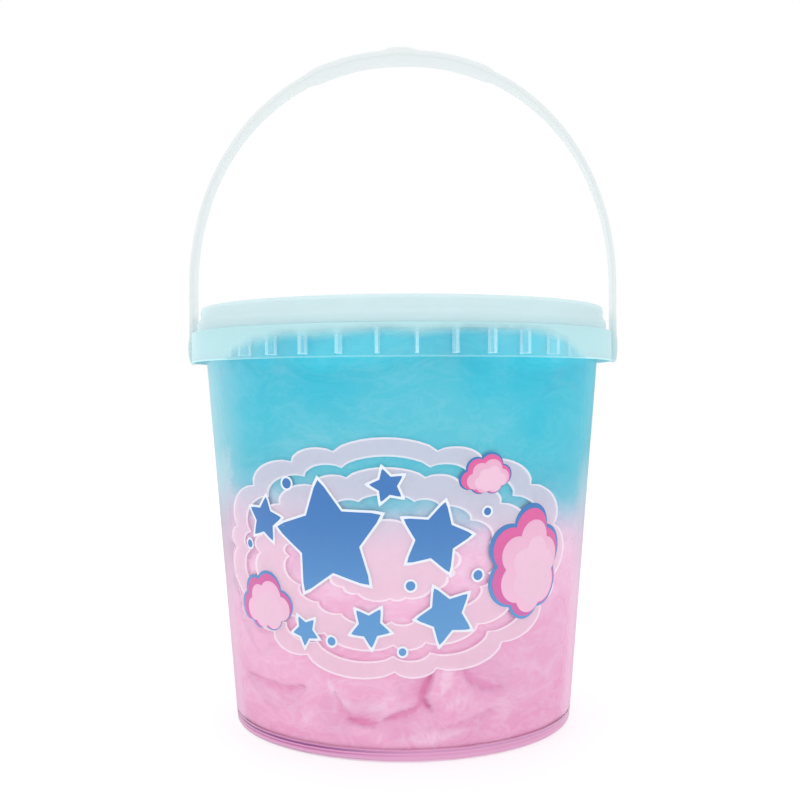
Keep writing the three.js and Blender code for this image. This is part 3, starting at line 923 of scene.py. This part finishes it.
seed = given["Seed"]
where = put(tree, "GeometryNodeInputPosition").outputs[0]
axes = put(tree, "ShaderNodeSeparateXYZ", {0: where}).outputs
drifted = swirled(tree, where, noise(tree, where, 26.0, 2.0, seed=seed)[1], (0.030, 0.030, 0.022))
lying = vector_sum(tree, "MULTIPLY", drifted, (1.0, 1.0, 1.5))
past_edge = calculate(tree, "SUBTRACT", noise(tree, lying, given["Fold size"], 1.0, seed=seed)[0], 0.5)
valley = calculate(
    tree, "MULTIPLY", ranged(tree, past_edge, -0.012, 0.012), ranged(tree, past_edge, 0.11, 0.012)
)
patches = noise(tree, where, 24.0, 1.0, seed=calculate(tree, "ADD", seed, 7.0))[0]
some = ranged(tree, patches, 0.5, 0.68, 0.0, 0.65)
lower = ranged(tree, axes["Z"], given["Fold reach high"], given["Fold reach low"])
lower = calculate(tree, "MAXIMUM", lower, given["Fold share above"])
fold = calculate(tree, "MULTIPLY", calculate(tree, "MULTIPLY", valley, some), lower)
laid = put(tree, "GeometryNodeInputNamedAttribute", {"Name": "laid_fold"}, data_type="FLOAT")
laid = laid.outputs["Attribute"]
roughness = ranged(tree, noise(tree, drifted, 130.0, 2.0, seed=seed)[0], 0.3, 0.55, 0.7)
fold = calculate(tree, "MAXIMUM", fold, calculate(tree, "MULTIPLY", laid, roughness))
lumps = noise(tree, drifted, 75.0, 2.0, seed=calculate(tree, "ADD", seed, 3.0))[0]
puff = ranged(tree, lumps, 0.35, 0.7)
combed = vector_sum(tree, "MULTIPLY", drifted, (1.0, 1.0, 3.2))
fibre = noise(tree, combed, 420.0, 3.0, 0.6, calculate(tree, "ADD", seed, 5.0))[0]
y_squared = calculate(tree, "MULTIPLY", axes["Y"], axes["Y"])
radius = calculate(tree, "SQRT", calculate(tree, "MULTIPLY_ADD", axes["X"], axes["X"], y_squared))
depth = calculate(tree, "MULTIPLY", fold, given["Fold depth"])
depth = calculate(tree, "MULTIPLY_ADD", puff, given["Puff depth"], depth)
depth = calculate(tree, "MULTIPLY_ADD", fibre, given["Fibre depth"], depth)
inward = calculate(tree, "MULTIPLY", depth, -1.0)
inward = calculate(tree, "DIVIDE", inward, calculate(tree, "MAXIMUM", radius, MM))
inward = calculate(tree, "MULTIPLY", inward, ranged(tree, radius, given["Side from"], given["Side to"]))
flat = vector_sum(tree, "MULTIPLY", where, (1.0, 1.0, 0.0))
shift = put(tree, "ShaderNodeVectorMath", {0: flat, "Scale": inward}, operation="SCALE").outputs[0]
wad_shape = kept_as(tree, given["Geometry"], "fold", fold)
wad_shape = put(tree, "GeometryNodeSetPosition", {"Geometry": wad_shape, "Offset": shift}).outputs[0]
wad_shape = put(tree, "GeometryNodeRealizeInstances", {0: wad_shape}).outputs[0]
sugared = {"Geometry": wad_shape, "Material": given["Finish"]}
feed(made[0], put(tree, "GeometryNodeSetMaterial", sugared).outputs[0])

# Colours from the foot upward: (height in millimetres, colour of the imported sugar). Above 143 mm the blue
# is painted lighter, painted light that offsets the shade under the collar and lid.
SUGAR_COLOURS = (
    (8, (0.80, 0.36, 0.565)),
    (34, (0.835, 0.43, 0.62)),
    (58, (0.87, 0.49, 0.68)),
    (72, (0.87, 0.53, 0.71)),
    (81, (0.74, 0.53, 0.70)),
    (88, (0.46, 0.55, 0.69)),
    (96, (0.20, 0.53, 0.66)),
    (107, (0.11, 0.52, 0.64)),
    (122, (0.105, 0.545, 0.665)),
    (143, (0.072, 0.53, 0.665)),
    (150, (0.07, 0.63, 0.77)),
    (158, (0.09, 0.74, 0.88)),
)
COLOUR_SLOPE = 0.035
BLUE_FROM, BLUE_TO = 78 * MM, 106 * MM
WISPS_IN_BLUE = 0.36
WISP_TINT = (0.3, 0.32, 0.34)
# Colours that the creases are multiplied by, painted shade; they also deepen the sugar's random darker tone.
PINK_SHADE_AND_DEEP_TONE, BLUE_SHADE_AND_DEEP_TONE = (0.93, 0.62, 0.78), (0.5, 0.9, 1.0)
PINK_RICH, BLUE_RICH = (0.92, 0.86, 0.92), (0.35, 0.95, 1.0)
# Where the sugar's colour is made deeper, to the sides of the front, so that its middle stays paler as a
# painted highlight: (place in millimetres, reach, share).
RICH_PLACES = (
    ((66, -48, 122), 60, 0.75),
    ((50, -59, 138), 26, 1.0),
    ((50, -57, 124), 20, 1.0),
    ((34, -70, 138), 20, 1.0),
    ((-25, -73, 138), 22, 0.85),
    ((-52, -62, 130), 30, 0.6),
    ((52, -50, 38), 62, 0.9),
)


def spun_sugar(name):
    """Spun sugar: pink that turns blue over a wandering boundary, with pale wisps and a darker tone at
    random, painted shade in the creases, a painted highlight on the wisps laid over the front, and a deeper
    colour to the sides of the front, whose middle stays paler as a painted highlight.
    """
    material, tree, shader = new_material(
        name, Roughness=0.95, Specular_IOR_Level=0.1, Sheen_Weight=0.1, Sheen_Roughness=0.6
    )
    at = on_piece(tree)[0]
    bent = swirled(tree, at, noise(tree, at, 30.0, 3.0, seed=2.0)[1], (0.03, 0.03, 0.03))
    axes = put(tree, "ShaderNodeSeparateXYZ", {0: bent}).outputs
    height = calculate(tree, "MULTIPLY_ADD", axes["X"], COLOUR_SLOPE, axes["Z"])
    blueness = ranged(tree, height, BLUE_FROM, BLUE_TO)
    contrast = ranged(tree, height, BLUE_FROM, BLUE_TO, 1.0, WISPS_IN_BLUE)
    combed = vector_sum(tree, "MULTIPLY", bent, (1.0, 1.0, 2.4))
    smoke = swirled(tree, combed, noise(tree, combed, 55.0, 3.0, seed=4.0)[1], (0.035, 0.035, 0.035))
    wisp = noise(tree, smoke, 48.0, 5.0, 0.55, 5.0)[0]
    strand = noise(tree, smoke, 70.0, 6.0, 0.6, 8.0)[0]
    from_ridge = calculate(tree, "ABSOLUTE", calculate(tree, "SUBTRACT", strand, 0.5))
    filaments = ranged(tree, from_ridge, 0.07, 0.0, 0.0, 0.3)
    fray = calculate(tree, "SUBTRACT", noise(tree, smoke, 150.0, 5.0, 0.65, 6.0)[0], 0.5)
    pale_share = calculate(tree, "ADD", ranged(tree, wisp, 0.48, 0.75, 0.0, 0.45), filaments)
    pale_share = calculate(tree, "MULTIPLY", pale_share, contrast)
    deep_share = calculate(tree, "MULTIPLY", ranged(tree, wisp, 0.5, 0.28, 0.0, 0.35), contrast)
    # How deep a point lies in a fold: the colour there is darkened, painted shade.
    fold = put(tree, "ShaderNodeAttribute", attribute_name="fold").outputs["Fac"]
    # How far under a wisp laid over the front: these wisps are made paler, a painted highlight.
    wisp_highlight = put(tree, "ShaderNodeAttribute", attribute_name="wisp_highlight").outputs["Fac"]
    torn = ranged(tree, calculate(tree, "MULTIPLY_ADD", fray, 1.6, wisp_highlight), 0.1, 0.95)
    ragged = ranged(tree, calculate(tree, "MULTIPLY_ADD", fray, 0.9, fold), 0.06, 0.95)
    pale_share = calculate(tree, "MULTIPLY_ADD", torn, 0.8, pale_share, clamp=True)
    shade_and_deep_share = calculate(tree, "MULTIPLY_ADD", ragged, 0.95, deep_share, clamp=True)
    pale_share = calculate(tree, "MULTIPLY", pale_share, calculate(tree, "SUBTRACT", 1.0, ragged))
    # The places beside the front's middle are deepened; the middle stays paler, a painted highlight.
    in_rich = 0.0
    for (x, y, z), reach, share in RICH_PLACES:
        away = vector_sum(tree, "DISTANCE", bent, (x * MM, y * MM, z * MM))
        in_rich = calculate(tree, "MAXIMUM", ranged(tree, away, reach * MM, 0.0, 0.0, share), in_rich)
    colour = blended(tree, pale_share, tints_along(tree, height, SUGAR_COLOURS), WISP_TINT, "SCREEN")
    shade_and_deep_tone = blended(tree, blueness, PINK_SHADE_AND_DEEP_TONE, BLUE_SHADE_AND_DEEP_TONE)
    colour = blended(tree, shade_and_deep_share, colour, shade_and_deep_tone, "MULTIPLY")
    rich = blended(tree, blueness, PINK_RICH, BLUE_RICH)
    feed(shader.inputs["Base Color"], blended(tree, in_rich, colour, rich, "MULTIPLY"))
    fine = noise(tree, combed, 780.0, 3.0, 0.6, 9.0)[0]
    feed(shader.inputs["Normal"], bumped(tree, fine, 0.2, 0.0005))
    return material


# The folds that lie at the front, low in the pink: (strength, line of (degrees from the front, height)).
# Each fold is pressed in and darkened with painted shade; it is steep on the left of its line and runs out
# softly on the right. A strength below nothing is a wisp that lies over its neighbours, made paler than they
# are, a painted highlight.
FRONT_FOLDS = (
    (1.0, ((11.2, 33.0), (9.8, 27.6), (8.4, 23.6), (10.6, 19.6))),
    (0.75, ((-3.4, 15.8), (0.8, 17.8), (4.9, 19.4), (8.6, 22.4))),
    (0.85, ((-5.5, 13.6), (-9.9, 13.2), (-14.6, 14.6))),
    (0.55, ((-57.3, 25.0), (-45.6, 24.5), (-36.6, 23.8), (-29.4, 25.6))),
    (0.5, ((-18.3, 24.1), (-16.4, 18.9), (-12.0, 14.6))),
    (0.6, ((34.6, 24.5), (27.8, 25.2), (22.5, 28.9), (20.0, 34.8))),
    (0.35, ((14.0, 12.0), (22.0, 13.5), (31.0, 17.5))),
    (-0.9, ((15.0, 36.0), (15.5, 30.0), (14.0, 25.0))),
    (-0.45, ((24.0, 26.4), (20.0, 22.0), (15.0, 18.8))),
    (-0.6, ((-16.7, 22.4), (-11.7, 19.2), (-5.3, 20.6), (0.1, 24.0))),
    (-0.6, ((-20.5, 29.1), (-18.1, 22.9), (-19.0, 17.0))),
    (-0.6, ((0.1, 8.0), (10.1, 8.5), (22.5, 11.0))),
    (-0.4, ((-24.0, 16.9), (-30.6, 12.1))),
)
FOLDS_BELOW = 45
FOLD_RADIUS = 70
STEEP_SIDE = 0.9
SOFT_SIDE = 6.5
WISP_HALF_WIDTH = 2.8


def press_folds(piece):
    """Marks each point of the side with how deep it lies in a front fold, and how far under a wisp."""
    folds = piece.data.attributes.new("laid_fold", "FLOAT", "POINT")
    wisps = piece.data.attributes.new("wisp_highlight", "FLOAT", "POINT")
    marks = {"laid_fold": folds, "wisp_highlight": wisps}
    for i, vertex in enumerate(piece.data.vertices):
        x, y, z = vertex.co / MM
        if y > 0 or z > FOLDS_BELOW or math.hypot(x, y) < 60:
            continue
        here = Vector((math.atan2(x, -y) * FOLD_RADIUS, z))
        for strength, line in FRONT_FOLDS:
            stops = [Vector((math.radians(turn) * FOLD_RADIUS, height)) for turn, height in line]
            if min((stop - here).length for stop in stops) > 16:
                continue
            near = 1e9
            for k, (a, b) in enumerate(zip(stops, stops[1:])):
                t = min(max((here - a).dot(b - a) / (b - a).length_squared, 0), 1)
                taper = 1 - 0.75 * abs(2 * (k + t) / (len(stops) - 1) - 1) ** 2
                on_left = (b - a).cross(here - a) > 0
                wide = WISP_HALF_WIDTH if strength < 0 else STEEP_SIDE if on_left else SOFT_SIDE
                near = min(near, (here - a.lerp(b, t)).length / (wide * taper))
            mark = marks["laid_fold" if strength > 0 else "wisp_highlight"].data[i]
            spread = near * near if strength < 0 or near < 0.3 else 1.3 * near
            mark.value = max(mark.value, abs(strength) * math.exp(-spread))


def wandering(turn, seed):
    """A smooth value between -1 and 1 that repeats round the pail."""
    return 0.6 * math.sin(3 * turn + 1.7 * seed) + 0.4 * math.sin(7 * turn + 2.9 * seed)


def wad(name, low, high, lower_soft, upper_soft):
    """A plug of floss out to the wall's inner face, between two heights, its edges drawn in over soft."""
    rows = int((high - low) / FLOSS_ROW)
    reach = wall_radius(low) - WALL + PRESS_IN - lower_soft
    points = [(reach * k / CAP_RINGS, low) for k in range(CAP_RINGS)]
    for i in range(rows + 1):
        z = low + (high - low) * i / rows
        r = wall_radius(z) - WALL + PRESS_IN
        for edge, soft in ((z - low, lower_soft), (high - z, upper_soft)):
            if soft and edge < soft:
                r -= soft - math.sqrt(max(soft * soft - (soft - edge) ** 2, 0))
        points.append((r, z))
    points += [(points[-1][0] * (1 - k / CAP_RINGS), high) for k in range(1, CAP_RINGS + 1)]
    vertices, faces = turned(points, FLOSS_STEPS)
    waved = []
    for x, y, z in vertices:
        near_seam = max(1 - abs(z - FLOSS_SEAM) / (FLOSS_SEAM - FLOSS_LOW), 0)
        wave = SEAM_WAVE * wandering(math.atan2(x, -y), FLOSS_SEED)
        waved.append((x, y, z + wave * near_seam**3 * math.hypot(x, y) / 0.07))
    return mesh_piece(name, waved, faces, smooth_angle=50)


floss_pink = wad("pink_floss", FLOSS_LOW, FLOSS_SEAM, 0.5 * MM, 0)
press_folds(floss_pink)
grown("folds", tree, floss_pink, {"Finish": spun_sugar("pink_spun_sugar")})
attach(floss_pink, "pail")
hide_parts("floss_pink")
floss_blue = wad("blue_floss", FLOSS_SEAM, FLOSS_TOP, 0, 1.6 * MM)
grown("folds", tree, floss_blue, {"Finish": spun_sugar("blue_spun_sugar")})
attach(floss_blue, "pail")
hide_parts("floss_blue")


# ---- Print: a cloud-edged field in bands, stars, dots and floss puffs ------------------------------------
# Screen-printed on the front of the wall: a translucent pale field in three bands, deep blue stars and dots
# with pale outlines, and pink puffs with a blue rim. Each ink is a thin film that follows the taper just
# off the wall.

PRINT_TURN = math.radians(-1.6)
PRINT_Z = 74.0
FIELD_HALF = (76.5, 43.5)
FIELD_BANDS = ((0.0, 0.34), (0.55, 0.76), (0.86, 1.0))
FIELD_LOBES = 17
FIRST_FILM = 0.06
FILM_STEP = 0.035
INK_PITCH = 3.5
MOTTLE_TINT = (0.94, 0.94, 0.95)


def ink(name, colour, cover, low_colour=None, soak=0.0):
    """A printed film: satin ink with a slight mottle, which hides what is behind it by its cover and lets
    through the share soak of the light. A second colour takes over downward across the print."""
    material, tree, shader = new_material(name, Roughness=0.4)
    at, axes = on_piece(tree)
    mottle = noise(tree, at, 260.0, 3.0, seed=1.0)[0]
    low = ranged(tree, axes["Z"], (PRINT_Z + 25) * MM, (PRINT_Z - 30) * MM)
    base = blended(tree, low, colour, low_colour or [c * 0.97 for c in colour])
    base = blended(tree, ranged(tree, mottle, 0.5, 0.75, 0.0, 0.5), base, MOTTLE_TINT, "MULTIPLY")
    feed(shader.inputs["Base Color"], base)
    film = shader.outputs[0]
    if soak:
        film = mixed(tree, soak, film, put(tree, "ShaderNodeBsdfTranslucent", {"Color": base}).outputs[0])
    clear = put(tree, "ShaderNodeBsdfTransparent").outputs[0]
    covered = ranged(tree, mottle, 0.3, 0.7, cover - 0.03, cover)
    feed(tree.nodes["Material Output"].inputs["Surface"], mixed(tree, covered, clear, film))
    return material


def round_dot(reach, steps=40):
    """A disc's edge, as points (along, up) about its own centre."""
    turns = [2 * math.pi * i / steps for i in range(steps)]
    return [(reach * math.cos(turn), reach * math.sin(turn)) for turn in turns]


def cloud_bank(half_wide, half_high, lobes, depth, steps_each=10):
    """A wide oval edged with round lobes of uneven length, as points (along, up) about its own centre."""
    lengths = [1 + 0.42 * math.sin(2.4 * k + 0.6) for k in range(lobes)]
    points, turn = [], 0.25
    for length in lengths:
        sweep = 2 * math.pi * length / sum(lengths)
        for i in range(steps_each):
            t = turn + sweep * i / steps_each
            swell = 1 - depth + depth * (0.6 + 0.4 * length) * math.sin(math.pi * i / steps_each) ** 0.65
            points.append((half_wide * swell * math.cos(t), half_high * swell * math.sin(t)))
        turn += sweep
    return points


def puff_of_floss(reach, lumps, steps=144):
    """The edge of round lumps (along, up, reach) that overlap, as points about their common centre."""
    points = []
    for i in range(steps):
        t = 2 * math.pi * i / steps
        away = Vector((math.cos(t), math.sin(t)))
        far = 0.1
        for x, y, r in lumps:
            middle = Vector((x, y)).dot(away)
            inside = r * r - x * x - y * y + middle * middle
            if inside > 0:
                far = max(far, middle + math.sqrt(inside))
        points.append((reach * far * away.x, reach * far * away.y))
    return points


def star(reach, lean, tips=5, plump=0.52, steps_each=6):
    """A star with plump arms and blunt tips, as points (along, up) about its own centre."""
    points, half = [], math.pi / tips
    for i in range(2 * tips * steps_each):
        t = i / steps_each * half
        from_tip = abs((t + half) % (2 * half) - half)
        straight = plump * math.sin(half) / (math.sin(from_tip) + plump * math.sin(half - from_tip))
        soft = reach * min(straight, 0.93 + 0.02 * math.cos(from_tip))
        points.append((soft * math.cos(t + lean), soft * math.sin(t + lean)))
    return points


def printed(name, films, finish, layer):
    """One ink: films of (centre, outline, inner share, outer share), laid on the taper at their layer."""
    vertices, faces = [], []
    for (along, up), outline, inner, outer in films:
        reach = max(math.hypot(*point) for point in outline)
        rings = max(int(math.ceil(reach * (outer - inner) / INK_PITCH)), 1)
        first, count = len(vertices), len(outline)
        for i in range(rings + 1):
            share = max(inner + (outer - inner) * i / rings, 0.002)
            for a, b in outline:
                z = (PRINT_Z + up + b * share) * MM
                turn = PRINT_TURN + (along + a * share) * MM / wall_radius(PRINT_Z * MM)
                r = wall_radius(z) + (FIRST_FILM + FILM_STEP * layer) * MM
                vertices.append((r * math.sin(turn), -r * math.cos(turn), z))
        for i in range(rings):
            for j in range(count):
                a, b = first + i * count + j, first + i * count + (j + 1) % count
                faces.append((a, a + count, b + count, b))
        if inner == 0:
            faces.append(tuple(first + j for j in range(count)))
    piece = mesh_piece(name, vertices, faces, finish, 180)
    piece.visible_shadow = False
    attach(piece, "pail")


field_outline = cloud_bank(*FIELD_HALF, FIELD_LOBES, 0.07)
field_ink = ink("pale_field_ink", (0.95, 0.79, 0.89), 0.72, soak=0.32)
printed("print_field", [((0, 0), field_outline, *band) for band in FIELD_BANDS], field_ink, 0)
edges = [share for band in FIELD_BANDS for share in band if share > 0]
line_ink = ink("white_line_ink", (0.95, 0.88, 0.94), 0.8, soak=0.2)
lines = [((0, 0), field_outline, share - 0.012, share + 0.004) for share in edges]
printed("print_field_lines", lines, line_ink, 1)

blue_ink = ink("deep_blue_ink", (0.035, 0.17, 0.47), 0.97, (0.10, 0.30, 0.60))
# The lumps of a puff: (along, up, reach), as shares of its reach.
WIDE_PUFF = (
    (-0.66, -0.14, 0.36),
    (-0.34, 0.26, 0.42),
    (0.2, 0.36, 0.48),
    (0.66, 0.02, 0.38),
    (0.28, -0.26, 0.4),
    (-0.24, -0.28, 0.38),
)
TALL_PUFF = (
    (-0.34, -0.3, 0.42),
    (-0.36, 0.28, 0.4),
    (0.1, 0.62, 0.38),
    (0.42, 0.2, 0.42),
    (0.34, -0.34, 0.44),
    (0.0, -0.6, 0.36),
)
PUFFS = (((54, -3), 22, TALL_PUFF), ((-54, -19), 15, WIDE_PUFF), ((35, 30), 10, WIDE_PUFF))
hot_pink_ink = ink("hot_pink_ink", (0.72, 0.11, 0.34), 0.97, (0.60, 0.13, 0.38))
soft_pink_ink = ink("soft_pink_ink", (0.78, 0.42, 0.60), 0.97, (0.84, 0.50, 0.68))
light_pink_ink = ink("light_pink_ink", (0.86, 0.56, 0.72), 0.9)
# Each layer of a puff: (name, scale, shift along, shift up, ink); the light falls on its lower right.
PUFF_LAYERS = (
    ("print_puff_rims", 1.0, 0.0, 0.0, blue_ink),
    ("print_puff_shade", 0.93, 0.025, -0.02, hot_pink_ink),
    ("print_puff_body", 0.8, 0.1, -0.09, soft_pink_ink),
    ("print_puff_light", 0.6, 0.19, -0.17, light_pink_ink),
)
for layer, (name, scale, along, up, finish) in enumerate(PUFF_LAYERS):
    films = []
    for (a, b), reach, lumps in PUFFS:
        films.append(((a + along * reach, b + up * reach), puff_of_floss(reach * scale, lumps), 0, 1))
    printed(name, films, finish, 2 + layer)

STARS = (
    # (centre, reach, lean in degrees)
    ((-22, 7), 23, 8),
    ((17, 8), 14, -14),
    ((21, -20), 11.5, 24),
    ((-50, 13), 9, -10),
    ((-7, -24), 8, 40),
    ((0, 27), 6.5, 15),
    ((-33, -27), 6, 30),
)
DOTS = (
    # (centre, reach)
    ((-38, 27), 1.9),
    ((8, -9), 1.7),
    ((-22, -30), 1.6),
    ((33, -6), 1.8),
    ((5, -33), 1.4),
    ((-60, 3), 1.5),
    ((36, 17), 1.4),
)
STAR_OUTLINE, DOT_OUTLINE = 1.9, 0.8
white_ink = ink("pale_outline_ink", (0.80, 0.86, 0.95), 0.92)
for name, star_rim, dot_rim, finish, layer in (
    ("print_star_outlines", STAR_OUTLINE, DOT_OUTLINE, white_ink, 6),
    ("print_stars", 0, 0, blue_ink, 7),
):
    films = [(at, star(r + star_rim, math.radians(90 + lean)), 0, 1) for at, r, lean in STARS]
    films += [(at, round_dot(r + dot_rim), 0, 1) for at, r in DOTS]
    printed(name, films, finish, layer)
